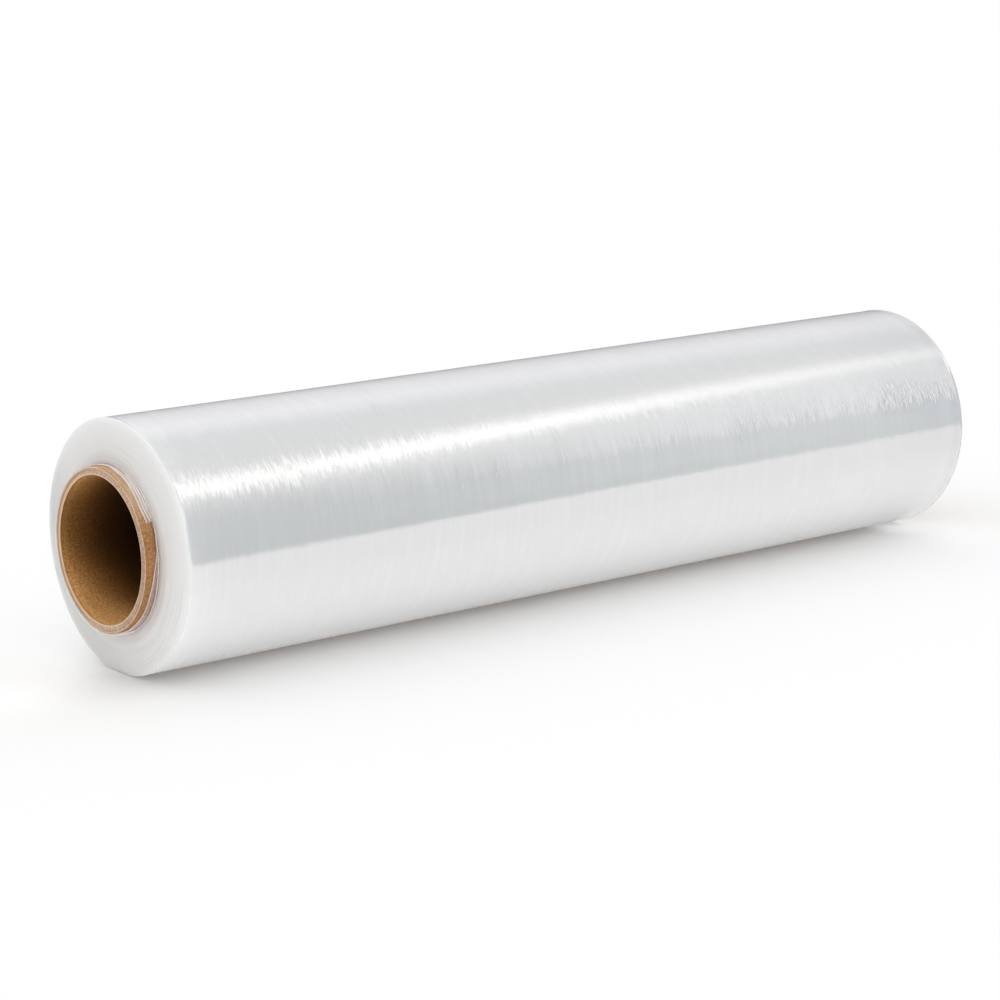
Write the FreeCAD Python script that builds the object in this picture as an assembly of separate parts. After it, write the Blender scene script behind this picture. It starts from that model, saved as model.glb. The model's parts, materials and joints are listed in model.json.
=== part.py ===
import FreeCAD, Part
import math
import os

# A cling film roll: one continuous web of clear film wound on a plain spiral-wound paper core.
#
# Millimetres. The roll lies on the plane z = 0, on the small flat spot that its own weight
# presses into the winding. Its axis runs along X, and the origin is the middle of the flat spot.
# The end at -X is the one where the film's inner turns creep out along the core. Around each
# end a place is given as a clock angle: 0 is +Z, and the angle grows towards -Y.

# Driving dimensions
film_width = 300.0            # the film, and so the winding, across its full width
winding_radius = 35.5
core_bore_radius = 20.5
core_wall = 2.25
core_overhang = 5.5           # the core stands this far out of the winding at each end
core_edge_round = 0.2         # worn inner and outer edges of the cut paper tube
flat_half_width = 4.3         # half the flat spot that the roll rests on
rim_round = 0.7               # the outermost turns roll over slightly at each end
end_crown = 1.8               # turns next to the core stand this much further out than the rim

# The innermost turn creeps along the core at -X. It starts at a straight edge along the axis,
# runs the long way round with decreasing clock angle, and sinks back into the end face.
creep_thickness = 0.3
creep_overhang = 4.15
creep_start_angle = 59.0
creep_end_angle = -285.0
sink_start_angle = 160.0      # where the creeping edge begins to fall back
sink_end_angle = 75.0         # where it reaches the end face

# Pleats in the film's start, each a thin step further from the core and nearer the end face
pleat_thickness = 0.3
pleats = ((10.0, 3.3), (24.0, 2.7), (36.0, 2.25))    # far clock angle, overhang

# Worked out
core_radius = core_bore_radius + core_wall
core_length = film_width + 2.0 * core_overhang
half_width = film_width / 2.0
axis_height = math.sqrt(winding_radius ** 2 - flat_half_width ** 2)
axis_point = FreeCAD.Vector(0.0, 0.0, axis_height)
along_x = FreeCAD.Vector(1.0, 0.0, 0.0)


def tube(inner_radius, outer_radius, x_low, x_high):
    """A tube on the roll's axis."""
    base = FreeCAD.Vector(x_low, 0.0, axis_height)
    length = x_high - x_low
    outer = Part.makeCylinder(outer_radius, length, base, along_x)
    inner = Part.makeCylinder(inner_radius, length, base, along_x)
    return outer.cut(inner)


def round_edges_at_radius(solid, radius, rounding):
    """Round the two circular end edges that a tube has at one radius."""
    edges = []
    for edge in solid.Edges:
        if isinstance(edge.Curve, Part.Circle) and abs(edge.Curve.Radius - radius) < 1e-6:
            edges.append(edge)
    return solid.makeFillet(rounding, edges)


def paper_core():
    """The paper tube, longer than the film is wide, with both cut edges slightly worn."""
    core = tube(core_bore_radius, core_radius, -core_length / 2.0, core_length / 2.0)
    core = round_edges_at_radius(core, core_bore_radius, core_edge_round)
    return round_edges_at_radius(core, core_radius, core_edge_round)


def winding_body():
    """All the turns as one solid: crowned ends, rounded rims and the flat spot below."""
    rim = half_width - rim_round
    arc_middle = rim_round * math.sqrt(0.5)
    shoulder = winding_radius - rim_round

    def point(x, radius):
        return FreeCAD.Vector(x, 0.0, axis_height + radius)

    def end_profile(side):
        """From the core outwards along one end face and over its rim."""
        crown_foot = point(side * (half_width + end_crown), core_radius)
        face_edge = point(side * half_width, shoulder)
        over = point(side * (rim + arc_middle), shoulder + arc_middle)
        rim_foot = point(side * rim, winding_radius)
        return [
            Part.LineSegment(crown_foot, face_edge).toShape(),
            Part.Arc(face_edge, over, rim_foot).toShape(),
        ], crown_foot, rim_foot

    low_edges, low_foot, low_rim = end_profile(-1.0)
    high_edges, high_foot, high_rim = end_profile(1.0)
    outside = Part.LineSegment(low_rim, high_rim).toShape()
    inside = Part.LineSegment(high_foot, low_foot).toShape()
    edges = low_edges + [outside] + high_edges + [inside]
    profile = Part.Face(Part.Wire(Part.__sortEdges__(edges)))
    body = profile.revolve(axis_point, along_x, 360.0)

    depth = winding_radius
    below = Part.makeBox(
        film_width + 20.0, 2.0 * winding_radius, depth,
        FreeCAD.Vector(-half_width - 10.0, -winding_radius, -depth),
    )
    return body.cut(below)


def ring_sector(inner_radius, outer_radius, overhang, first_angle, last_angle):
    """A thin sector of turns at the -X end, between two clock angles, first above last."""
    x_low = -half_width - overhang
    x_high = -half_width + 1.0
    corners = [
        FreeCAD.Vector(x_low, 0.0, axis_height + inner_radius),
        FreeCAD.Vector(x_high, 0.0, axis_height + inner_radius),
        FreeCAD.Vector(x_high, 0.0, axis_height + outer_radius),
        FreeCAD.Vector(x_low, 0.0, axis_height + outer_radius),
    ]
    face = Part.Face(Part.makePolygon(corners + corners[:1]))
    face.rotate(axis_point, along_x, first_angle)
    return face.revolve(axis_point, along_x, last_angle - first_angle)


def sinking_edge_cutter():
    """Takes the creeping turn down along a slope, on the -Y side, to the end face."""
    margin = 5.0
    low = axis_height + core_radius * math.cos(math.radians(sink_start_angle))
    high = axis_height + core_radius * math.cos(math.radians(sink_end_angle))
    tip = -half_width - creep_overhang
    sunk = -half_width - end_crown
    corners = [
        FreeCAD.Vector(tip - margin, 0.0, low),
        FreeCAD.Vector(tip, 0.0, low),
        FreeCAD.Vector(sunk, 0.0, high),
        FreeCAD.Vector(tip - margin, 0.0, high),
    ]
    face = Part.Face(Part.makePolygon(corners + corners[:1]))
    return face.extrude(FreeCAD.Vector(0.0, -winding_radius, 0.0))


def film_winding():
    """The wound film with its creeping inner turn and the pleats of its start."""
    winding = winding_body()
    creep_radius = core_radius + creep_thickness
    creep = ring_sector(
        core_radius, creep_radius, creep_overhang, creep_start_angle, creep_end_angle)
    winding = winding.fuse(creep.cut(sinking_edge_cutter()))
    inner = creep_radius
    for far_angle, overhang in pleats:
        outer = inner + pleat_thickness
        winding = winding.fuse(
            ring_sector(inner, outer, overhang, creep_start_angle, far_angle))
        inner = outer
    return winding.removeSplitter()


def write(name, shape):
    solid = shape.Solids[0] if len(shape.Solids) == 1 else shape
    box = solid.optimalBoundingBox()
    print(
        f"{name}: {len(shape.Solids)} solid, valid {solid.isValid()}, "
        f"{solid.Volume / 1000.0:.1f} cm3, "
        f"x {box.XMin:.2f}..{box.XMax:.2f}, y {box.YMin:.2f}..{box.YMax:.2f}, "
        f"z {box.ZMin:.2f}..{box.ZMax:.2f}"
    )
    solid.exportStep(os.path.join("parts", name + ".step"))


os.makedirs("parts", exist_ok=True)
write("paper_core", paper_core())
write("film_winding", film_winding())
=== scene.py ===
import json
import math

import bpy
import numpy as np
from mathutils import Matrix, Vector, noise


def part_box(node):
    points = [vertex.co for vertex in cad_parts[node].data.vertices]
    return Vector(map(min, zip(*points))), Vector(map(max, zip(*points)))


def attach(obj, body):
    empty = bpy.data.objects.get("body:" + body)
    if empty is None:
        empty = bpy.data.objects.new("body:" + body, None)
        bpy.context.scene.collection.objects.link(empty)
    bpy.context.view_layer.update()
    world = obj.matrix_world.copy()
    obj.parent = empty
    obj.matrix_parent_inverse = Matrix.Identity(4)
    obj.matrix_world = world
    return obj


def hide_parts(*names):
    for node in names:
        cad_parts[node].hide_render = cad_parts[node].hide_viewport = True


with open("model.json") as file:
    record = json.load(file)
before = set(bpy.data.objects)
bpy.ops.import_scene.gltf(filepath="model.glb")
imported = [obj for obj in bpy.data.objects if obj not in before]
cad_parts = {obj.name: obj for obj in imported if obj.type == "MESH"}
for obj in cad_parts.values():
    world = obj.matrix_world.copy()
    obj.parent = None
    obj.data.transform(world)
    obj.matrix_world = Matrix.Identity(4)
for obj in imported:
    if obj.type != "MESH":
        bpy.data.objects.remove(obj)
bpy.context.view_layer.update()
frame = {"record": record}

# A cling film roll lying on its side: a brown paper core and the clear film wound on it.
# Metres. The roll's axis runs along X. Around the roll a place is given as a clock angle:
# 0 is up, and the angle grows towards -Y, the side that faces the camera.

MM = 0.001


# ---------------------------------------------------------------- sizes, from the frame

core_low, core_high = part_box("paper_core")
_, wind_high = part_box("film_winding")
mounts = {mount["name"]: mount for mount in frame["record"]["mounts"]}

CORE_HALF = core_high.x                                    # half the core's length
CORE_RADIUS = 0.5 * (core_high.z - core_low.z)
BORE_RADIUS = mounts["core_bore"]["dims"]["r_mm"] * MM
AXIS_HEIGHT = mounts["core_bore"]["pos_m"][2]
WINDING_RADIUS = wind_high.z - AXIS_HEIGHT
HALF_WIDTH = 150.0 * MM                                    # half the film's width
CROWN = wind_high.x - HALF_WIDTH                           # inner turns stand out this much


# ---------------------------------------------------------------- small helpers

def around(x, radius, clock):
    """Points at clock angles (radians) round the roll's axis, as an array of shape (..., 3)."""
    x, radius, clock = np.broadcast_arrays(x, radius, clock)
    return np.stack([x, -radius * np.sin(clock), AXIS_HEIGHT + radius * np.cos(clock)], axis=-1)


def wander(clock, waves, seed):
    """A smooth closed line round the roll: sine waves with random phases, about 1 high."""
    rng = np.random.default_rng(seed)
    line = np.zeros_like(clock)
    for count in waves:
        line += np.sin(count * clock + rng.uniform(0.0, 2.0 * math.pi)) / math.sqrt(len(waves))
    return line


def grid_mesh(name, points, closed_rows, closed_columns):
    """A mesh of quads over a grid of points, of shape (rows, columns, 3)."""
    rows, columns = points.shape[:2]
    index = np.arange(rows * columns).reshape(rows, columns)
    row_count = rows if closed_rows else rows - 1
    column_count = columns if closed_columns else columns - 1
    r = np.arange(row_count)[:, None]
    c = np.arange(column_count)[None, :]
    r_next = (r + 1) % rows
    c_next = (c + 1) % columns
    quads = np.stack([index[r, c], index[r_next, c], index[r_next, c_next], index[r, c_next]], -1)
    mesh = bpy.data.meshes.new(name)
    mesh.from_pydata(points.reshape(-1, 3).tolist(), [], quads.reshape(-1, 4).tolist())
    mesh.update()
    return mesh


def add_piece(name, mesh, node, materials):
    """Puts a finished mesh in the scene as a piece that stands for a CAD node."""
    mesh.shade_smooth()
    piece = bpy.data.objects.new(name, mesh)
    bpy.context.scene.collection.objects.link(piece)
    for material in materials:
        mesh.materials.append(material)
    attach(piece, "root")
    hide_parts(node)


class Nodes:
    """Short calls for building the node tree of a material, or of the world."""

    def __init__(self, owner, output="ShaderNodeOutputMaterial"):
        owner.use_nodes = True
        self.owner = owner
        self.tree = owner.node_tree
        self.tree.nodes.clear()
        self.out = self.tree.nodes.new(output)

    def add(self, kind, inputs=None, **settings):
        node = self.tree.nodes.new(kind)
        for key, value in settings.items():
            setattr(node, key, value)
        for key, value in (inputs or {}).items():
            self.feed(node, key, value)
        return node

    def feed(self, node, key, value):
        """Sets an input socket to a value, or links it to another node's output."""
        socket = node.inputs[key]
        if isinstance(value, bpy.types.NodeSocket):
            self.tree.links.new(value, socket)
        elif socket.type == "RGBA":
            socket.default_value = (*value, 1.0)
        else:
            socket.default_value = value

    def math(self, operation, a, b=0.0, c=0.0):
        node = self.add("ShaderNodeMath", operation=operation)
        self.feed(node, 0, a)
        self.feed(node, 1, b)
        self.feed(node, 2, c)
        return node.outputs[0]

    def place(self):
        """The point being shaded, in the roll's own frame."""
        return self.add("ShaderNodeTexCoord").outputs["Object"]

    def bell(self, value, centre, reach):
        """1 where the value is at the centre, falling to about a third at the reach."""
        off = self.math("DIVIDE", self.math("SUBTRACT", value, centre), reach)
        return self.math("EXPONENT", self.math("MULTIPLY", self.math("MULTIPLY", off, off), -1.0))

    def span(self, value, start, end, low=0.0, high=1.0, smooth=False):
        """Carries start..end to low..high, and holds the value beyond both."""
        node = self.add("ShaderNodeMapRange", {
            "Value": value, "From Min": start, "From Max": end, "To Min": low, "To Max": high},
            interpolation_type="SMOOTHSTEP" if smooth else "LINEAR", clamp=True)
        return node.outputs[0]

    def vector(self, operation, a, b=(0.0, 0.0, 0.0), scale=1.0):
        node = self.add("ShaderNodeVectorMath", {0: a, 1: b, 3: scale}, operation=operation)
        return node.outputs[0]

    def join(self, x=0.0, y=0.0, z=0.0):
        return self.add("ShaderNodeCombineXYZ", {"X": x, "Y": y, "Z": z}).outputs[0]

    def split(self, vector):
        return self.add("ShaderNodeSeparateXYZ", {"Vector": vector}).outputs

    def noise(self, vector, detail=2.0, roughness=0.5):
        node = self.add("ShaderNodeTexNoise", {
            "Vector": vector, "Scale": 1.0, "Detail": detail, "Roughness": roughness})
        return node.outputs["Fac"]

    def cloud(self, place, per_metre):
        """Soft noise, the same in every direction."""
        node = self.add("ShaderNodeMapping", {"Vector": place}, vector_type="TEXTURE")
        node.inputs["Scale"].default_value = [1.0 / per_metre] * 3
        return self.noise(node.outputs[0])

    def ramp(self, value, stops):
        """A colour ramp. Each stop is a position and a grey or a colour."""
        node = self.add("ShaderNodeValToRGB")
        elements = node.color_ramp.elements
        while len(elements) < len(stops):
            elements.new(0.5)
        for element, (position, colour) in zip(elements, stops):
            element.position = position
            grey = isinstance(colour, float)
            element.color = (colour, colour, colour, 1.0) if grey else (*colour, 1.0)
        self.feed(node, "Fac", value)
        return node.outputs["Color"]

    def mix(self, factor, a, b):
        node = self.add("ShaderNodeMix", data_type="RGBA")
        self.feed(node, 0, factor)
        self.feed(node, 6, a)
        self.feed(node, 7, b)
        return node.outputs[2]

    def bump(self, height, depth, normal=None):
        """Bump from a height of 0 to 1, standing for a real depth in metres."""
        node = self.add("ShaderNodeBump", {"Height": height, "Strength": 1.0, "Distance": depth})
        if normal is not None:
            self.feed(node, "Normal", normal)
        return node.outputs["Normal"]

    def gloss(self, inputs):
        """A Principled shader, as the finished material."""
        return self.finish(self.add("ShaderNodeBsdfPrincipled", inputs))

    def finish(self, shader):
        """Puts a shader node on the output, and gives back the finished material or world."""
        self.tree.links.new(shader.outputs[0], self.out.inputs["Surface"])
        return self.owner


def axis_distance(nodes, place):
    """How far the shaded point is from the roll's axis, in metres."""
    _, side, up = nodes.split(place)
    height = nodes.math("SUBTRACT", up, AXIS_HEIGHT)
    squares = nodes.math("ADD", nodes.math("POWER", side, 2.0), nodes.math("POWER", height, 2.0))
    return nodes.math("SQRT", squares)


# ---------------------------------------------------------------- materials

FILM_DEPTH = 12.0 * MM                                     # how far light wanders in the film,
FACE_DEPTH = 5.0 * MM                                      # and in its stacked edges
TURN_RINGS = 1300.0                                        # noise waves a metre across the turns,
PLY_RINGS = 3200.0                                         # and across the core's plies


def hoop_frame(nodes, place):
    """The clock direction as a unit vector, x, the clock angle, and the way round the hoop."""
    x, side, up = nodes.split(place)
    height = nodes.math("SUBTRACT", up, AXIS_HEIGHT)
    hoop = nodes.vector("NORMALIZE", nodes.join(y=nodes.math("MULTIPLY", height, -1.0), z=side))
    clock = nodes.math("ARCTAN2", nodes.math("MULTIPLY", side, -1.0), height)
    arc = nodes.math("MULTIPLY", clock, WINDING_RADIUS)
    return hoop, x, clock, arc


def hoop_noise(nodes, x, arc, x_grain, arc_grain, offset, detail=2.0, roughness=0.5):
    """Noise whose grains are x_grain long along the axis and arc_grain long round the roll."""
    at = nodes.join(nodes.math("DIVIDE", x, x_grain), nodes.math("DIVIDE", arc, arc_grain), offset)
    return nodes.noise(at, detail, roughness)


def leaning_strands(nodes, x, arc):
    """How far each strand of film leans round the hoop, between -1 and 1."""
    fine = hoop_noise(nodes, x, arc, 0.48 * MM, 4.5 * MM, 0.0, 2.0, 0.6)
    coarse = hoop_noise(nodes, x, arc, 1.3 * MM, 8.0 * MM, 20.0, 1.0, 0.6)
    fine = nodes.math("SUBTRACT", fine, 0.5)
    coarse = nodes.math("SUBTRACT", coarse, 0.5)
    both = nodes.math("MULTIPLY_ADD", coarse, 0.35, fine)
    return nodes.math("TANH", nodes.math("MULTIPLY", both, 5.0))


def film_slack(nodes, x, clock, patch):
    """How far the strands may lean: the film is tight over the middle, slack near both ends.

    Near +X only a band below the top is slack.
    """
    near = nodes.span(x, -130.0 * MM, 0.0, 0.090, 0.018, smooth=True)
    loosest = nodes.ramp(nodes.math("ABSOLUTE", nodes.math("DIVIDE", clock, math.pi)), (
        (0.10, 0.45), (0.24, 1.0), (0.29, 1.0), (0.36, 0.45), (0.44, 0.28), (0.80, 0.6)))
    near = nodes.math("MULTIPLY", near, loosest)
    far = nodes.span(x, -50.0 * MM, 125.0 * MM, 0.0, 0.23, smooth=True)
    band = nodes.math("MAXIMUM", nodes.bell(clock, math.radians(63.0), math.radians(10.0)), 0.10)
    slack = nodes.math("ADD", near, nodes.math("MULTIPLY", far, band))
    return nodes.math("MULTIPLY", slack, nodes.ramp(patch, ((0.30, 0.70), (0.65, 1.10))))


def film_tint(nodes, x, arc, broad, patch):
    """The film's milky white, with pale and dark strands in patches, and painted shade that greys it
    towards +X and darkens it to a grey line at the rim there.
    """
    fine = hoop_noise(nodes, x, arc, 0.55 * MM, 12.0 * MM, 31.0, 3.0, 0.6)
    soft = hoop_noise(nodes, x, arc, 2.2 * MM, 22.0 * MM, 37.0)
    shown = nodes.ramp(patch, ((0.40, 0.15), (0.60, 1.0)))
    pale = nodes.math("MULTIPLY", nodes.ramp(fine, ((0.52, 0.0), (0.72, 0.24))), shown)
    dark = nodes.math("MULTIPLY", nodes.ramp(fine, ((0.28, 0.09), (0.44, 0.0))), shown)
    tint = nodes.mix(nodes.ramp(broad, ((0.3, 0.0), (0.7, 0.4))),
                     (0.800, 0.800, 0.800), (0.782, 0.784, 0.788))
    tint = nodes.mix(nodes.ramp(soft, ((0.48, 0.0), (0.74, 0.20))), tint, (0.93, 0.93, 0.93))
    tint = nodes.mix(pale, tint, (0.93, 0.93, 0.93))
    tint = nodes.mix(dark, tint, (0.70, 0.705, 0.71))
    # painted shade: the film greys over its last 50 mm towards +X
    far_end_shade = nodes.span(x, 100.0 * MM, 150.0 * MM, smooth=True)
    tint = nodes.mix(far_end_shade, tint, (0.755, 0.755, 0.765))
    # painted shade: a grey line right at the +X rim
    far_edge_shade = nodes.span(x, 143.0 * MM, 150.5 * MM, smooth=True)
    return nodes.mix(far_edge_shade, tint, (0.61, 0.61, 0.63))


def film_side_material():
    """The outside of the winding: glossy clear film, milky in bulk, with fine hoop-wise strands.

    Each strand of film leans a little to one side round the hoop, so that the edge of a
    reflection breaks up into hair-like strokes.
    """
    n = Nodes(bpy.data.materials.new("clear_film_side"))
    hoop, x, clock, arc = hoop_frame(n, n.place())
    broad = n.math("SUBTRACT", hoop_noise(n, x, arc, 5.0 * MM, 30.0 * MM, 4.0), 0.5)
    patch = hoop_noise(n, x, arc, 30.0 * MM, 16.0 * MM, 9.0, 1.0)
    cross = n.math("SUBTRACT", hoop_noise(n, x, arc, 0.8 * MM, 30.0 * MM, 14.0, 1.0), 0.5)
    lean = n.math("MULTIPLY", leaning_strands(n, x, arc), film_slack(n, x, clock, patch))
    lean = n.math("ADD", lean, n.math("MULTIPLY", broad, 0.02))
    normal = n.add("ShaderNodeNewGeometry").outputs["Normal"]
    normal = n.vector("ADD", normal, n.vector("SCALE", hoop, scale=lean))
    normal = n.vector("ADD", normal, n.join(x=n.math("MULTIPLY", cross, 0.08)))
    return n.gloss({
        "Base Color": film_tint(n, x, arc, broad, patch), "Roughness": 0.12,
        "Normal": n.vector("NORMALIZE", normal), "IOR": 2.0, "Specular IOR Level": 1.0,
        "Subsurface Weight": 1.0, "Subsurface Radius": (1.0, 1.0, 1.0),
        "Subsurface Scale": FILM_DEPTH,
    })


def film_crease_material():
    """A fold or crinkle in the film: whiter than the film round it, most of all near +X."""
    n = Nodes(bpy.data.materials.new("clear_film_crease"))
    _, x, _, arc = hoop_frame(n, n.place())
    streak = hoop_noise(n, x, arc, 0.5 * MM, 4.0 * MM, 3.0)
    whiter = n.span(x, -60.0 * MM, 110.0 * MM)
    low = n.mix(whiter, (0.79, 0.79, 0.79), (0.83, 0.83, 0.83))
    high = n.mix(whiter, (0.86, 0.86, 0.86), (0.92, 0.92, 0.92))
    return n.gloss({
        "Base Color": n.mix(n.ramp(streak, ((0.3, 0.0), (0.6, 1.0))), low, high),
        "Roughness": 0.25, "IOR": 1.6, "Specular IOR Level": 0.8,
    })


def film_sheet_material():
    """Loose turns over the core: clear film that pales what lies under it, more so in its pleats. It
    glows faintly, as painted light that lifts the shade in the gaps between them.
    """
    n = Nodes(bpy.data.materials.new("clear_film_sheet"))
    _, x, clock, arc = hoop_frame(n, n.place())
    streak = hoop_noise(n, x, arc, 0.35 * MM, 9.0 * MM, 3.0)
    turns = n.math("DIVIDE", clock, math.pi)
    single = n.ramp(turns, ((0.29, 0.0), (0.36, 1.0), (0.70, 1.0), (0.85, 0.0)))
    low = n.mix(single, (0.90, 0.81, 0.78), (0.72, 0.50, 0.40))
    high = n.mix(single, (0.97, 0.92, 0.90), (0.84, 0.66, 0.57))
    cover = n.ramp(turns, (
        (0.00, 0.50), (0.05, 0.75), (0.17, 0.75), (0.23, 0.42), (0.34, 0.34), (0.70, 0.32),
        (0.85, 0.55)))
    return n.gloss({
        "Base Color": n.mix(n.ramp(streak, ((0.3, 0.0), (0.7, 1.0))), low, high),
        "Roughness": 0.30, "IOR": 1.45, "Specular IOR Level": 0.5, "Alpha": cover,
        # painted light: a faint warm glow that lifts the shade in the gaps between the sheets
        "Emission Color": (1.0, 0.84, 0.76), "Emission Strength": 0.13,
    })


def film_edge_material():
    """The cut edge of a loose turn: it gathers light, and shows as a fine pale line."""
    n = Nodes(bpy.data.materials.new("clear_film_edge"))
    _, x, clock, arc = hoop_frame(n, n.place())
    streak = hoop_noise(n, x, arc, 0.5 * MM, 2.5 * MM, 3.0)
    single = n.ramp(n.math("DIVIDE", clock, math.pi),
                    ((0.31, 0.0), (0.38, 1.0), (0.72, 1.0), (0.90, 0.0)))
    low = n.mix(single, (0.86, 0.79, 0.77), (0.72, 0.60, 0.55))
    high = n.mix(single, (0.97, 0.93, 0.90), (0.88, 0.79, 0.74))
    return n.gloss({
        "Base Color": n.mix(n.ramp(streak, ((0.3, 0.0), (0.7, 1.0))), low, high),
        "Roughness": 0.32, "IOR": 1.45, "Specular IOR Level": 0.5,
    })


def rim_painted_highlight(nodes, x, clock, share):
    """Painted highlight on the rolled rim: only at -X, and brightest over the top and the near side.
    """
    rim = nodes.ramp(share, ((0.84, 0.0), (0.976, 0.35), (0.990, 1.0)))
    front = nodes.ramp(nodes.math("DIVIDE", clock, math.pi), (
        (0.0, 0.25), (0.14, 0.80), (0.36, 0.80), (0.50, 0.60), (0.62, 0.70), (0.84, 0.75),
        (0.94, 0.15)))
    near_end = nodes.math("LESS_THAN", x, 0.0)
    on_front = nodes.math("GREATER_THAN", clock, -0.2)
    for part in (front, near_end, on_front):
        rim = nodes.math("MULTIPLY", rim, part)
    return rim


def film_end_material():
    """The stacked film edges: milky and satin, with fine broken rings, warmer next to the core.

    Painted shade greys the face on its +Y side and towards its bottom, and a painted highlight
    whitens the rim at -X.
    """
    n = Nodes(bpy.data.materials.new("clear_film_end"))
    place = n.place()
    _, x, clock, _ = hoop_frame(n, place)
    _, side, up = n.split(place)
    height = n.math("SUBTRACT", up, AXIS_HEIGHT)
    radius = axis_distance(n, place)
    share = n.math("DIVIDE", n.math("SUBTRACT", radius, CORE_RADIUS), WINDING_RADIUS - CORE_RADIUS)
    tint = n.ramp(share, (
        (0.0, (0.93, 0.86, 0.82)), (0.10, (0.89, 0.85, 0.82)), (0.30, (0.867, 0.858, 0.842)),
        (0.90, (0.868, 0.870, 0.865))))
    # painted shade: the face greys towards its +Y side
    far_side_shade = n.math("ADD", n.math("MULTIPLY", side, 0.9), n.math("MULTIPLY", height, -0.50))
    far_side_shade = n.span(far_side_shade, 7.0 * MM, 29.0 * MM, smooth=True)
    tint = n.mix(far_side_shade, tint, (0.685, 0.687, 0.680))
    lower = n.math("MULTIPLY_ADD", height, -14.0, 0.5)
    # painted shade: the face darkens towards its bottom
    tint = n.mix(n.ramp(lower, ((0.80, 0.0), (0.93, 0.45))), tint, (0.72, 0.715, 0.70))

    drift = n.math("MULTIPLY", n.cloud(place, 40.0), 3.0)
    rings = n.noise(n.join(n.math("MULTIPLY", radius, TURN_RINGS), drift), 4.0, 0.65)
    shown = n.math("MULTIPLY", n.ramp(n.cloud(place, 55.0), ((0.35, 0.15), (0.62, 1.0))),
                   n.ramp(lower, ((0.10, 0.30), (0.65, 1.0))))
    dark = n.math("MULTIPLY", n.ramp(rings, ((0.34, 0.90), (0.50, 0.0))), shown)
    dark = n.math("MULTIPLY", dark, n.ramp(share, ((0.35, 1.0), (0.85, 0.50))))
    tint = n.mix(dark, tint, (0.66, 0.635, 0.62))
    pale = n.math("MULTIPLY", n.ramp(rings, ((0.52, 0.0), (0.68, 0.70))), shown)
    tint = n.mix(pale, tint, (0.93, 0.925, 0.92))

    # painted highlight: whitens the rolled rim at -X
    tint = n.mix(rim_painted_highlight(n, x, clock, share), tint, (0.985, 0.985, 0.985))
    warmth = n.ramp(n.math("DIVIDE", clock, math.pi),
                    ((0.20, 0.0), (0.36, 1.0), (0.94, 1.0), (1.0, 0.6)))
    warmth = n.math("MULTIPLY", warmth, n.ramp(share, ((0.0, 0.9), (0.30, 0.0))))
    tint = n.mix(warmth, tint, (0.775, 0.705, 0.685))
    return n.gloss({
        "Base Color": tint, "Roughness": 0.38, "Normal": n.bump(rings, 0.12 * MM), "IOR": 1.5,
        "Subsurface Weight": 1.0, "Subsurface Radius": (1.0, 1.0, 1.0),
        "Subsurface Scale": FACE_DEPTH,
    })


def far_rim_shade_material():
    """The rounded rim at +X, seen edge on: satin, with painted shade that makes it greyer than the
    film beside it.
    """
    n = Nodes(bpy.data.materials.new("clear_film_rim_shade"))
    _, x, _, arc = hoop_frame(n, n.place())
    streak = hoop_noise(n, x, arc, 0.5 * MM, 6.0 * MM, 3.0)
    # painted shade: the dark grey base colour stands for the rim's shade
    return n.gloss({
        "Base Color": n.ramp(streak, ((0.3, (0.48, 0.48, 0.50)), (0.7, (0.58, 0.58, 0.60)))),
        "Roughness": 0.50, "IOR": 1.3, "Specular IOR Level": 0.1,
    })


MOUTH_BAND = 0.9 * MM                                      # darker band at the bore's mouth
LIT_DEPTH = 13.6 * MM                                      # the light falls away over this depth,
LIT_START = 10.0 * MM                                      # from this far outside the mouth,
LIT_REACH_CURVE = 24.5                                     # and deeper by this times height squared


def bore_shade(nodes, place):
    """How light the bore's paper is: bright behind the mouth, and nearly black further in.

    The light reaches deepest over the top and the bottom. It is weaker on the upper +Y side and
    right at the mouth.
    """
    x, side, up = nodes.split(place)
    height = nodes.math("SUBTRACT", up, AXIS_HEIGHT)
    inwards = nodes.math("SUBTRACT", CORE_HALF, nodes.math("ABSOLUTE", x))
    squared = nodes.math("SUBTRACT", BORE_RADIUS ** 2, nodes.math("POWER", side, 2.0))
    depth = nodes.math("SUBTRACT", inwards, nodes.math("MULTIPLY", squared, LIT_REACH_CURVE))
    below = nodes.math("MINIMUM", height, 0.0)
    depth = nodes.math("ADD", nodes.math("MULTIPLY_ADD", below, 0.11, depth), LIT_START)
    depth = nodes.math("DIVIDE", nodes.math("MAXIMUM", depth, 0.0), LIT_DEPTH)
    falling = nodes.math("ADD", nodes.math("POWER", depth, 3.4), 1.0)
    light = nodes.math("ADD", nodes.math("DIVIDE", 1.0, falling), 0.015)
    corner = nodes.math("ADD", nodes.math("MULTIPLY", side, 0.88 / BORE_RADIUS),
                        nodes.math("MULTIPLY", height, 0.48 / BORE_RADIUS))
    corner = nodes.math("POWER", nodes.math("MAXIMUM", corner, 0.0), 2.0)
    mouth = nodes.math("EXPONENT", nodes.math("DIVIDE", inwards, -MOUTH_BAND))
    for darkening, strength in ((corner, 0.36), (mouth, 0.45)):
        kept = nodes.math("SUBTRACT", 1.0, nodes.math("MULTIPLY", darkening, strength))
        light = nodes.math("MULTIPLY", light, kept)
    return nodes.join(
        nodes.math("MULTIPLY", light, 1.74),
        nodes.math("MULTIPLY", nodes.math("POWER", light, 1.13), 1.70),
        nodes.math("MULTIPLY", nodes.math("POWER", light, 1.46), 1.52))


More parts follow.
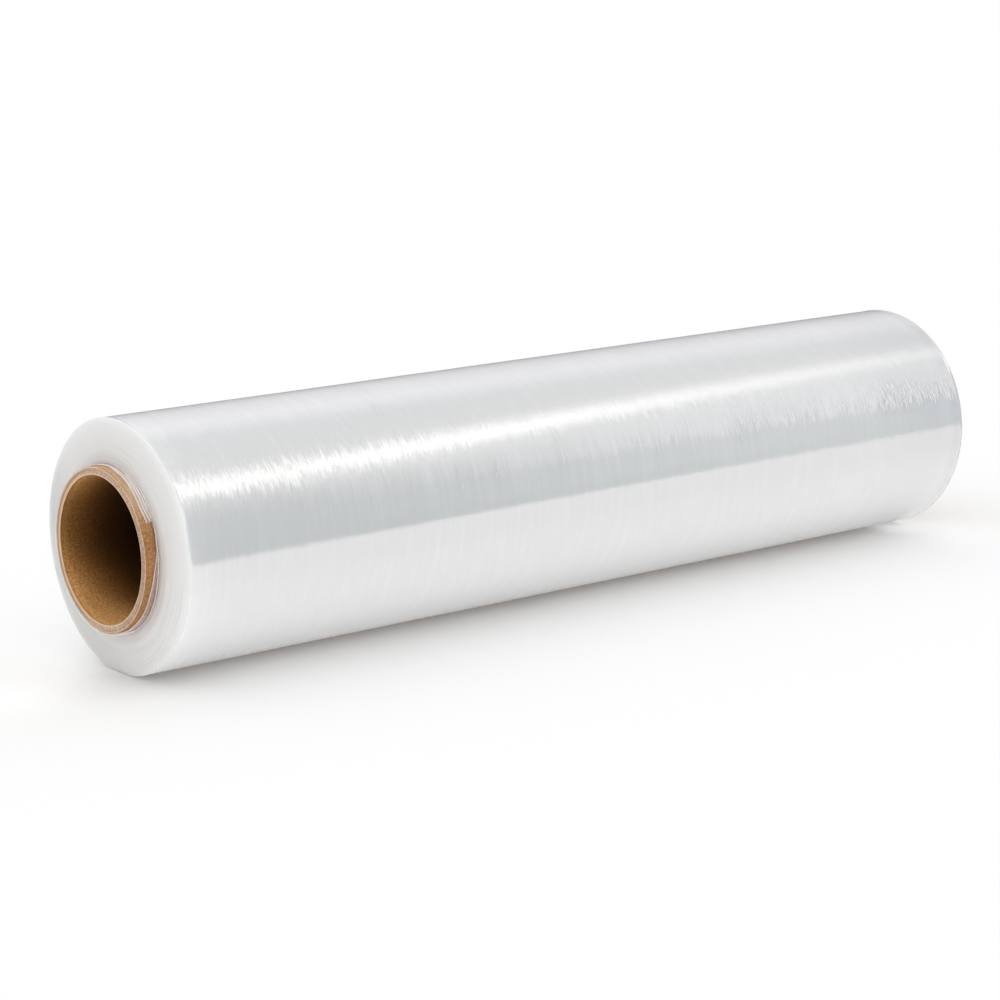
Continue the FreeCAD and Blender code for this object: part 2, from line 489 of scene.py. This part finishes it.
def kraft_material(name, in_bore):
    """Brown kraft paper: finely speckled, fibrous and matt.

    It carries painted shade deep in the bore, and painted light that makes it paler over the top of
    the core.
    """
    n = Nodes(bpy.data.materials.new(name))
    place = n.place()
    _, x, clock, arc = hoop_frame(n, place)
    speck = hoop_noise(n, x, arc, 0.80 * MM, 1.1 * MM, 0.0, 4.0, 0.70)
    fibre = hoop_noise(n, x, arc, 0.7 * MM, 6.0 * MM, 7.0, 3.0, 0.6)
    cloud = n.cloud(place, 70.0)
    colour = n.ramp(speck, (
        (0.34, (0.24, 0.108, 0.036)), (0.50, (0.47, 0.245, 0.098)), (0.66, (0.68, 0.410, 0.195))))
    colour = n.mix(n.ramp(fibre, ((0.35, 0.0), (0.70, 0.45))), colour, (0.56, 0.34, 0.155))
    colour = n.mix(n.ramp(cloud, ((0.42, 0.0), (0.66, 0.48))), colour, (0.33, 0.170, 0.065))
    if not in_bore:
        # painted light: paler over the top of the core, where light falls on it
        over_top = n.ramp(n.math("ABSOLUTE", n.math("DIVIDE", clock, math.pi)),
                          ((0.25, 0.46), (0.36, 0.0)))
        painted_top_light = n.math("MULTIPLY", over_top, n.ramp(fibre, ((0.38, 1.0), (0.62, 0.55))))
        colour = n.mix(painted_top_light, colour, (1.0, 0.85, 0.62))
    # painted shade in the bore; outside the bore only a plain darker brown tone
    bore_shade_or_tone = bore_shade(n, place) if in_bore else (0.95, 0.87, 0.85)
    return n.gloss({
        "Base Color": n.vector("MULTIPLY", colour, bore_shade_or_tone), "Roughness": 0.85,
        "Normal": n.bump(fibre, 0.04 * MM, n.bump(speck, 0.12 * MM)),
        "IOR": 1.45, "Specular IOR Level": 0.25,
    })


def cut_paper_material():
    """The sawn end of the core: beige plies, torn across by the saw.

    Its outer half is darker at +Y.
    """
    n = Nodes(bpy.data.materials.new("cut_paperboard"))
    place = n.place()
    radius = axis_distance(n, place)
    _, _, _, arc = hoop_frame(n, place)
    drift = n.cloud(place, 120.0)
    plies = n.noise(n.join(n.math("MULTIPLY", radius, PLY_RINGS), n.math("MULTIPLY", drift, 3.0)))
    hatch = n.noise(n.join(n.math("DIVIDE", arc, 0.75 * MM), n.math("DIVIDE", radius, 2.4 * MM)))
    colour = n.ramp(plies, (
        (0.32, (0.48, 0.32, 0.22)), (0.5, (0.64, 0.465, 0.35)), (0.7, (0.74, 0.575, 0.46))))
    colour = n.mix(n.ramp(hatch, ((0.42, 0.72), (0.56, 0.0))), colour, (0.36, 0.235, 0.155))
    side = n.split(place)["Y"]
    front = n.math("MAXIMUM", n.math("DIVIDE", side, -CORE_RADIUS), 0.0)
    colour = n.vector("SCALE", colour, scale=n.math("MULTIPLY_ADD", front, -0.28, 1.28))
    share = n.math("DIVIDE", n.math("SUBTRACT", radius, BORE_RADIUS), CORE_RADIUS - BORE_RADIUS)
    inner = n.ramp(share, ((0.0, 1.0), (0.14, 0.9), (0.24, 0.0)))
    outer = n.ramp(share, ((0.80, 0.0), (0.93, 0.7)))
    colour = n.mix(inner, colour, (0.86, 0.66, 0.50))
    colour = n.mix(outer, colour, (0.88, 0.66, 0.48))
    ragged = n.math("ADD", share, n.math("MULTIPLY", n.math("SUBTRACT", drift, 0.5), 0.2))
    plus_y_rings = n.ramp(ragged, (
        (0.10, (0.96, 0.69, 0.48)), (0.34, (0.88, 0.62, 0.42)), (0.46, (0.53, 0.36, 0.25)),
        (0.70, (0.53, 0.36, 0.25)), (0.82, (0.96, 0.85, 0.73))))
    plus_y_rings = n.mix(n.ramp(plies, ((0.35, 0.35), (0.60, 0.0))), plus_y_rings, (0.26, 0.165, 0.10))
    colour = n.mix(n.span(side, 0.0, 13.0 * MM, 0.0, 0.9), colour, plus_y_rings)
    return n.gloss({
        "Base Color": colour, "Roughness": 0.8,
        "Normal": n.bump(hatch, 0.06 * MM, n.bump(plies, 0.08 * MM)),
        "IOR": 1.45, "Specular IOR Level": 0.3,
    })


# ---------------------------------------------------------------- the core

CLOCKS_CORE = 224                                          # points in each ring round the axis
RINGS_CORE = 110                                           # rings along the bore and the outside
PLY_COUNT = 8
PLY_RELIEF = 0.12 * MM
WORN_EDGE = 0.2 * MM
SAW_ROUGHNESS = 0.05 * MM


def core_profile():
    """The tube's section as (x, radius, is_cut_face), once round: bore, end, outside, end."""
    wall = CORE_RADIUS - BORE_RADIUS

    def end(side):
        """From the bore outwards over one cut end, ply by ply."""
        face = []
        steps = PLY_COUNT * 3
        for k in range(steps + 1):
            r = BORE_RADIUS + WORN_EDGE * 0.4 + (wall - WORN_EDGE * 0.8) * k / steps
            inset = PLY_RELIEF * abs(math.sin(math.pi * k / 3.0)) ** 2
            edge = min(k, steps - k)
            inset += WORN_EDGE * (0.7, 0.2, 0.05)[edge] if edge < 3 else 0.0
            face.append((side * (CORE_HALF - inset), r, True))
        return face

    tube_x = np.linspace(-1.0, 1.0, RINGS_CORE) * (CORE_HALF - WORN_EDGE)
    rings = [(x, BORE_RADIUS, False) for x in tube_x[::-1]]
    rings += end(-1.0)
    rings += [(x, CORE_RADIUS, False) for x in tube_x]
    rings += end(1.0)[::-1]
    return rings


def build_core():
    profile = core_profile()
    clock = np.linspace(0.0, 2.0 * math.pi, CLOCKS_CORE, endpoint=False)
    rows = []
    for k, (x, radius, cut) in enumerate(profile):
        if cut:
            rough = SAW_ROUGHNESS * wander(clock, (3, 7, 13, 22, 31), 100 + k)
            x = x - math.copysign(1.0, x) * (np.abs(rough) + 0.01 * MM)
        rows.append(around(x, radius, clock))
    mesh = grid_mesh("core_tube", np.array(rows), True, True)
    add_piece("core_tube", mesh, "paper_core", [
        kraft_material("kraft_paper", False), cut_paper_material(),
        # the bore's copy of the kraft carries painted shade
        kraft_material("kraft_paper_bore", True)])
    for face in mesh.polygons:
        row = face.index // CLOCKS_CORE
        following = profile[(row + 1) % len(profile)]
        if profile[row][2] and following[2]:
            face.material_index = 1
        elif 0.5 * (profile[row][1] + following[1]) < BORE_RADIUS + 0.1 * MM:
            face.material_index = 2


# ---------------------------------------------------------------- the winding

CLOCKS_WINDING = 192                                       # points in each ring round the axis
RINGS_WINDING = 400                                        # rings along the film's width
FACE_RINGS = 26                                            # rings of faces over an end face
FACE_RELIEF = 0.10 * MM
RIM_ROUND = 0.35 * MM
RIM_RINGS = 5                                              # rings of faces over the rounded rim
FILM_RADIUS = WINDING_RADIUS - 0.10 * MM                   # creases stand out to the full radius
# Ridges in the film: waves a metre along the roll, reach of the waves round it, height in mm.
FILM_RIDGES = ((420.0, 1.2, 0.006), (190.0, 0.8, 0.012), (60.0, 0.5, 0.030))


def end_face_profile(side):
    """One end face from the core out to the rim and round it, as (x, radius)."""
    shoulder = WINDING_RADIUS - RIM_ROUND
    face = []
    for k in range(FACE_RINGS + 1):
        share = k / FACE_RINGS
        radius = CORE_RADIUS + (shoulder - CORE_RADIUS) * share
        proud = CROWN * (1.0 - share) - FACE_RELIEF * abs(math.sin(11.0 * share)) * (1.0 - share)
        face.append((side * (HALF_WIDTH + proud), radius))
    for k in range(1, RIM_RINGS):
        turn = 0.5 * math.pi * k / RIM_RINGS
        radius = shoulder + RIM_ROUND * math.sin(turn)
        face.append((side * (HALF_WIDTH - RIM_ROUND + RIM_ROUND * math.cos(turn)), radius))
    return face


def film_radius(x, clock):
    """The winding's outer radius at one place: shallow ridges that run round the hoop."""
    radius = FILM_RADIUS
    for layer, (per_metre, turns, height) in enumerate(FILM_RIDGES):
        spot = Vector((x * per_metre, turns * math.cos(clock), turns * math.sin(clock) + 7.0 * layer))
        radius += noise.noise(spot) * height * MM
    return radius


def build_winding():
    clock = np.linspace(-math.pi, math.pi, CLOCKS_WINDING, endpoint=False)
    rim = HALF_WIDTH - RIM_ROUND
    side_x = np.linspace(-rim, rim, RINGS_WINDING)
    low_face = end_face_profile(-1.0)
    high_face = end_face_profile(1.0)
    rows = [around(x, radius, clock) for x, radius in low_face]
    for x in side_x:
        rows.append(around(x, np.array([film_radius(x, c) for c in clock]), clock))
    rows += [around(x, radius, clock) for x, radius in high_face[::-1]]
    points = np.array(rows)
    points[..., 2] = np.maximum(points[..., 2], 0.0)       # the flat spot
    mesh = grid_mesh("film_turns", points, True, True)
    add_piece("film_turns", mesh, "film_winding",
              [film_side_material(), film_end_material(), far_rim_shade_material()])
    last_side = points.shape[0] - len(high_face) - 1
    for face in mesh.polygons:
        row = face.index // CLOCKS_WINDING
        if row < len(low_face) or row >= last_side + RIM_RINGS:
            face.material_index = 1
        elif row >= last_side:
            face.material_index = 2


# ---------------------------------------------------------------- loose turns and creases

BEAD = 0.15 * MM                                           # half the height of a loose film edge
SHEET = 0.05 * MM                                          # half the thickness of loose film
ROOT_DEPTH = 1.0 * MM                                      # loose film starts this far in the roll
EDGE_WAVES = 0.05 * MM                                     # how much a free edge waves
SMOOTHING = 9                                              # steps that a free edge is smoothed over


def loose_turn(name, radius, edge, seed, clocks, sheet=SHEET, bead=BEAD):
    """A loose turn of film at the -X end: a thin sheet with a fine rounded free edge.

    The edge is given as pairs of a clock angle in degrees and how far the film stands out
    there past the film's width, in millimetres.
    """
    degrees = np.linspace(edge[0][0], edge[-1][0], clocks)
    clock_points, overhangs = np.array(sorted(edge)).T
    reach = np.interp(degrees, clock_points, overhangs) * MM
    kernel = np.hanning(SMOOTHING)
    padded = np.pad(reach, SMOOTHING // 2, mode="edge")
    reach = np.convolve(padded, kernel / kernel.sum(), mode="valid")
    clock = np.radians(degrees)
    reach = reach + EDGE_WAVES * wander(clock, (5, 9, 14, 23), seed)
    root = -HALF_WIDTH + ROOT_DEPTH
    section = [(None, sheet), (0.0, sheet)]
    for k in range(7):
        turn = math.radians(30.0 + 50.0 * k)
        section.append((-bead * (1.0 - math.cos(turn)), bead * math.sin(turn)))
    section += [(0.0, -sheet), (None, -sheet)]
    rows = []
    for along, height in section:
        if along is None:
            x = np.full_like(clock, root)
        else:
            x = -HALF_WIDTH - reach + 2.0 * bead + along
        rows.append(around(x, radius + height, clock))
    points = np.array(rows)
    mesh = grid_mesh(name, points, True, False)
    add_piece(name, mesh, "film_winding",
              [film_sheet_material(), film_edge_material()])
    for face in mesh.polygons:
        row = face.index // (clocks - 1)
        face.material_index = 1 if 1 <= row < len(section) - 2 else 0


def build_loose_turns():
    """The film's start at -X: one turn that creeps out along the core, and its pleats."""
    loose_turn("film_start", CORE_RADIUS + 0.25 * MM, [
        (62.0, 3.30), (57.0, 3.65), (50.0, 3.85), (41.0, 3.65), (32.0, 3.45), (22.0, 3.20),
        (13.0, 3.35), (3.0, 2.90), (-15.0, 3.30), (-45.0, 4.05), (-80.0, 4.15), (-200.0, 4.15),
        (-215.0, 3.90), (-232.0, 3.60), (-246.0, 3.50), (-257.0, 3.25), (-265.0, 2.90),
        (-275.0, 2.30), (-283.0, 1.60)], 21, 300)
    loose_turn("film_second_turn", CORE_RADIUS + 0.75 * MM, [
        (158.0, 2.60), (145.0, 2.10), (128.0, 1.85), (118.0, 2.05), (108.0, 2.15), (95.0, 2.12),
        (82.0, 2.08), (74.0, 2.05), (66.0, 1.75)], 25, 110)
    loose_turn("film_inner_turns", CORE_RADIUS + 0.52 * MM, [
        (152.0, 1.60), (160.0, 2.90), (170.0, 4.40), (184.0, 5.10), (210.0, 5.25), (270.0, 5.20),
        (292.0, 4.90), (306.0, 4.00), (325.0, 1.60)], 26, 200, 0.36 * MM, 0.40 * MM)
    loose_turn("film_pleat_inner", CORE_RADIUS + 0.50 * MM, [
        (61.5, 2.40), (55.0, 2.85), (45.0, 2.85), (36.0, 2.70), (28.0, 2.40), (20.0, 1.90)],
        22, 60, 0.04 * MM, 0.10 * MM)
    loose_turn("film_pleat_middle", CORE_RADIUS + 0.85 * MM, [
        (60.0, 1.90), (53.0, 2.25), (48.0, 2.35), (41.0, 2.32), (34.0, 2.10), (29.0, 1.95),
        (18.0, 1.95), (7.0, 1.92), (-2.0, 1.60)], 23, 80, 0.04 * MM, 0.11 * MM)
    loose_turn("film_pleat_outer", CORE_RADIUS + 1.30 * MM, [
        (59.0, 1.62), (52.0, 1.78), (44.0, 1.80), (36.0, 1.72), (24.0, 1.66), (10.0, 1.50)],
        27, 70, 0.04 * MM, 0.12 * MM)


# A fold's section, as shares of its half width and of its height. Its foot is under the surface.
CREASE_SECTION = np.array([(-1.0, -0.7), (-0.75, 0.0), (-0.35, 0.75), (0.0, 1.0), (0.35, 0.75),
                           (0.75, 0.0), (1.0, -0.7), (0.0, -2.5)])


def crease(x_start, slant, clock_low, clock_high, width, height):
    """A low fold of film along the hoop: rings of points, from one sunken tip to the other."""
    steps = max(9, int((clock_high - clock_low) / math.radians(1.0)))
    share = np.linspace(0.0, 1.0, steps)
    clock = clock_low + (clock_high - clock_low) * share
    middle = x_start + slant * share
    taper = np.sin(math.pi * share) ** 0.7
    x = middle + 0.5 * width * (0.3 + 0.7 * taper) * CREASE_SECTION[:, :1]
    film = np.array([film_radius(place, angle) for place, angle in zip(middle, clock)])
    radius = film + height * (taper * (CREASE_SECTION[:, 1:] + 1.0) - 1.0)
    return around(x, np.minimum(radius, WINDING_RADIUS), clock)


def ribs_mesh(name, ribs):
    """One mesh of closed ribs. Each rib is a grid of points: round its section, then along it."""
    vertices = []
    faces = []
    for rib in ribs:
        base = len(vertices)
        sides, steps = rib.shape[:2]
        vertices += rib.reshape(-1, 3).tolist()
        for side in range(sides):
            for step in range(steps - 1):
                first = base + side * steps + step
                second = base + (side + 1) % sides * steps + step
                faces.append((first, second, second + 1, first + 1))
        faces.append([base + side * steps for side in range(sides)][::-1])
        faces.append([base + side * steps + steps - 1 for side in range(sides)])
    mesh = bpy.data.meshes.new(name)
    mesh.from_pydata([(x, y, max(z, 0.0)) for x, y, z in vertices], [], faces)
    mesh.update()
    return mesh


def build_creases():
    """Fine folds in the outermost turn: a few long ones, and crinkles that crowd towards +X."""
    rng = np.random.default_rng(40)
    ribs = []

    def fold(x, centre, length, slant, width, height):
        """Adds one fold. Its centre and length are in degrees, and the rest in millimetres."""
        reach = math.radians(length)
        middle = math.radians(centre)
        ribs.append(crease(x * MM, slant * MM, middle - 0.5 * reach, middle + 0.5 * reach,
                           width * MM, height * MM))

    fold(-20.3, 57.0, 16.0, 1.2, 0.75, 0.055)
    fold(-19.3, 68.0, 10.0, 0.4, 0.55, 0.040)
    fold(-71.5, 9.0, 16.0, -1.2, 0.30, 0.030)
    fold(-73.5, 27.0, 20.0, -1.6, 0.35, 0.035)
    fold(-67.0, 31.0, 9.0, -0.8, 0.30, 0.030)

    for _ in range(86):
        fold(rng.uniform(112.0, 147.5), rng.uniform(58.5, 71.5), rng.uniform(4.0, 8.5),
             rng.normal(0.3, 0.30), rng.uniform(0.34, 0.66), rng.uniform(0.016, 0.038))
    for _ in range(44):
        x = rng.uniform(50.0, 118.0)
        fold(x, rng.normal(66.5, 2.0), rng.uniform(4.0, 8.0), rng.normal(0.3, 0.25),
             rng.uniform(0.28, 0.50), 0.010 + 0.014 * (x - 50.0) / 68.0)
    for _ in range(25):
        fold(rng.uniform(-60.0, 60.0), rng.normal(69.0, 3.0), rng.uniform(3.0, 6.5),
             rng.normal(0.2, 0.2), rng.uniform(0.24, 0.40), rng.uniform(0.010, 0.018))
    for _ in range(20):
        fold(rng.uniform(-144.0, 142.0), rng.uniform(-180.0, 42.0), rng.uniform(4.0, 10.0),
             rng.normal(0.4, 0.5), rng.uniform(0.20, 0.32), rng.uniform(0.012, 0.020))
    add_piece("film_creases", ribs_mesh("film_creases", ribs), "film_winding",
              [film_crease_material()])


# ---------------------------------------------------------------- stage, light and camera

FLOOR_HALF = 12.0
FLOOR_DROP = 0.05 * MM                                     # the floor is this far under the roll
FRONT_EDGE = -0.216                                        # where gloss sees the floor end, at x = 0
FRONT_EDGE_SLANT = -0.17
BACK_EDGE = 0.22
# Painted shadow at the roll's feet and painted pools of light by its ends, as soft spots that only
# the camera sees: x, y, reach along x, reach along y, strength.
FOOT_SHADE = ((-0.149, -0.012, 0.020, 0.011, 0.20), (-0.152, 0.0, 0.008, 0.010, 0.25),
              (0.157, -0.004, 0.010, 0.007, 0.10))
END_SPILL = ((-0.158, 0.016, 0.025, 0.025, 0.10), (0.148, -0.026, 0.020, 0.020, 0.10),
             (0.144, -0.011, 0.007, 0.009, 0.30), (-0.182, -0.004, 0.020, 0.018, 0.10))

CAMERA_LENS = 104.29                                       # millimetres
CAMERA_PLACE = (-0.5547, -0.6546, 0.2168)
CAMERA_HEADING = math.radians(39.465)                      # from +Y towards +X
CAMERA_PITCH = math.radians(-12.455)


def soft_spots(nodes, x, y, spots):
    """Soft spots on the floor. Each is its place, its reach along X and Y, and its strength."""
    total = 0.0
    for spot_x, spot_y, x_reach, y_reach, strength in spots:
        along = nodes.math("DIVIDE", nodes.math("SUBTRACT", x, spot_x), x_reach)
        across = nodes.math("DIVIDE", nodes.math("SUBTRACT", y, spot_y), y_reach)
        squares = nodes.math("MULTIPLY_ADD", along, along, nodes.math("MULTIPLY", across, across))
        spot = nodes.math("EXPONENT", nodes.math("MULTIPLY", squares, -1.0))
        total = nodes.math("MULTIPLY_ADD", spot, strength, total)
    return total


def build_floor():
    """A pale floor. Gloss sees it end at a slanted edge in front and a straight one behind, and sees
    painted light on it under the roll. The camera sees painted shadow and light on it by the roll's
    ends.
    """
    n = Nodes(bpy.data.materials.new("floor_paper"))
    paths = n.add("ShaderNodeLightPath").outputs
    glossy = paths["Is Glossy Ray"]
    x, y, _ = n.split(n.place())
    front = n.math("LESS_THAN", y, n.math("MULTIPLY_ADD", x, FRONT_EDGE_SLANT, FRONT_EDGE))
    behind = n.math("GREATER_THAN", y, BACK_EDGE)
    shown = n.math("MAXIMUM", paths["Is Camera Ray"], glossy)
    tone = n.mix(shown, (0.96, 0.96, 0.96), (0.906, 0.930, 0.945))
    # painted shadow: darkens the floor at the roll's feet, for the camera only
    foot = n.math("MULTIPLY", soft_spots(n, x, y, FOOT_SHADE), paths["Is Camera Ray"])
    tone = n.mix(foot, tone, (0.10, 0.09, 0.08))
    lit = n.add("ShaderNodeBsdfDiffuse", {"Color": tone})
    # painted light: pools of light on the floor by the roll's ends, for the camera only
    spill = n.math("MULTIPLY", soft_spots(n, x, y, END_SPILL), paths["Is Camera Ray"])
    # painted light: a glow on the floor under and just in front of the roll, which only gloss sees
    under = n.ramp(n.math("MULTIPLY_ADD", y, 5.0, 0.5), (
        (0.0, 0.05), (0.10, 0.12), (0.265, 0.34), (0.32, 0.42), (0.36, 0.42), (0.41, 0.33),
        (0.50, 0.28), (0.65, 0.05)))
    for colour, strength in (((0.094, 0.072, 0.056), shown),
                             ((1.0, 1.0, 1.0), n.math("MULTIPLY", glossy, under)),
                             ((0.93, 0.98, 1.0), spill)):
        glow = n.add("ShaderNodeEmission", {"Color": colour, "Strength": strength})
        lit = n.add("ShaderNodeAddShader", {0: lit.outputs[0], 1: glow.outputs[0]})
    start = n.math("DIVIDE", n.math("MULTIPLY_ADD", y, 0.855, x),
                   n.math("MULTIPLY_ADD", y, -1.54, 1.0))
    side = n.ramp(n.math("ADD", start, 0.5), (
        (0.397, (0.0, 0.085, 0.135)), (0.565, (0.275, 0.37, 0.41)), (0.65, (0.325, 0.42, 0.455))))
    side = n.mix(behind, side, (0.26, 0.26, 0.29))
    beyond = n.add("ShaderNodeEmission", {"Color": side, "Strength": 1.0})
    dim = n.math("MULTIPLY", glossy, n.math("MAXIMUM", front, behind))
    both = n.add("ShaderNodeMixShader", {0: dim, 1: lit.outputs[0], 2: beyond.outputs[0]})
    mesh = bpy.data.meshes.new("floor")
    corners = [(-1, -1), (1, -1), (1, 1), (-1, 1)]
    mesh.from_pydata([(FLOOR_HALF * a, FLOOR_HALF * b, 0.0) for a, b in corners], [],
                     [(0, 1, 2, 3)])
    mesh.materials.append(n.finish(both))
    floor = bpy.data.objects.new("floor", mesh)
    floor.location.z = -FLOOR_DROP
    bpy.context.scene.collection.objects.link(floor)


# What the gloss reflects, as bands of elevation round the roll's axis, in half turns: 0 is level
# in front, 0.5 is straight up and 1 is level behind. Towards -X first, then towards +X.
STUDIO_NEAR = (
    (0.00, (0.0, 0.085, 0.135)), (0.12, (0.0, 0.085, 0.135)), (0.17, (0.05, 0.12, 0.16)),
    (0.21, (0.30, 0.34, 0.36)), (0.26, (0.62, 0.64, 0.64)), (0.33, (0.52, 0.54, 0.54)),
    (0.60, (0.50, 0.52, 0.56)), (0.66, (0.80, 0.82, 0.86)), (0.72, (0.96, 0.97, 1.01)),
    (0.80, (0.80, 0.80, 0.85)), (0.90, (0.56, 0.56, 0.61)), (0.97, (0.30, 0.30, 0.33)))
STUDIO_FAR = (
    (0.00, (0.345, 0.44, 0.475)), (0.12, (0.345, 0.44, 0.475)), (0.15, (0.80, 0.85, 0.89)),
    (0.25, (0.84, 0.88, 0.92)), (0.35, (0.74, 0.77, 0.80)), (0.46, (0.54, 0.56, 0.57)),
    (0.60, (0.50, 0.52, 0.55)), (0.66, (0.68, 0.70, 0.74)), (0.72, (0.80, 0.81, 0.85)),
    (0.80, (0.70, 0.70, 0.75)), (0.90, (0.42, 0.42, 0.46)), (0.97, (0.24, 0.24, 0.27)))


def build_world():
    """Even light from all round, and a simple studio for what the gloss reflects.

    The studio is a strip lamp above the front, a broad lamp above the back and a pale panel
    on the far side. The strip climbs and dims towards +X.
    """
    n = Nodes(bpy.data.worlds.new("studio"), "ShaderNodeOutputWorld")
    x, side, up = n.split(n.add("ShaderNodeTexCoord").outputs["Generated"])
    turn = n.math("DIVIDE", n.math("ARCTAN2", up, n.math("MULTIPLY", side, -1.0)), math.pi)
    studio = n.mix(n.span(x, 0.57, 0.69), n.ramp(turn, STUDIO_NEAR), n.ramp(turn, STUDIO_FAR))
    strip_turn = n.span(x, 0.54, 0.72, 0.297, 0.420)
    width = n.math("MULTIPLY_ADD", n.math("GREATER_THAN", turn, strip_turn), 0.012, 0.042)
    strip = n.math("MULTIPLY", n.bell(turn, strip_turn, width), n.span(x, 0.62, 0.73, 1.75, 0.50))
    studio = n.vector("ADD", studio, n.join(strip, strip, n.math("MULTIPLY", strip, 0.93)))
    panel = n.math("MULTIPLY", n.bell(turn, 0.20, 0.060), n.span(x, 0.705, 0.735, 0.0, 0.30))
    studio = n.vector("ADD", studio, n.join(panel, panel, panel))
    paths = n.add("ShaderNodeLightPath").outputs
    sky = n.math("MULTIPLY_ADD", n.math("MAXIMUM", up, 0.0), 0.72, 0.52)
    colour = n.mix(paths["Is Glossy Ray"], sky, studio)
    colour = n.mix(paths["Is Camera Ray"], colour, (1.0, 1.0, 1.0))
    shine = n.add("ShaderNodeBackground", {"Color": colour, "Strength": 1.0})
    bpy.context.scene.world = n.finish(shine)


def build_camera():
    camera_data = bpy.data.cameras.new("camera")
    camera_data.lens = CAMERA_LENS
    camera = bpy.data.objects.new("camera", camera_data)
    bpy.context.scene.collection.objects.link(camera)
    bpy.context.scene.camera = camera
    camera.location = CAMERA_PLACE
    look = Vector((math.sin(CAMERA_HEADING) * math.cos(CAMERA_PITCH),
                   math.cos(CAMERA_HEADING) * math.cos(CAMERA_PITCH), math.sin(CAMERA_PITCH)))
    camera.rotation_euler = look.to_track_quat("-Z", "Y").to_euler()


build_core()
build_winding()
build_loose_turns()
build_creases()
build_floor()
build_world()
build_camera()

bpy.context.scene.view_settings.view_transform = "Standard"
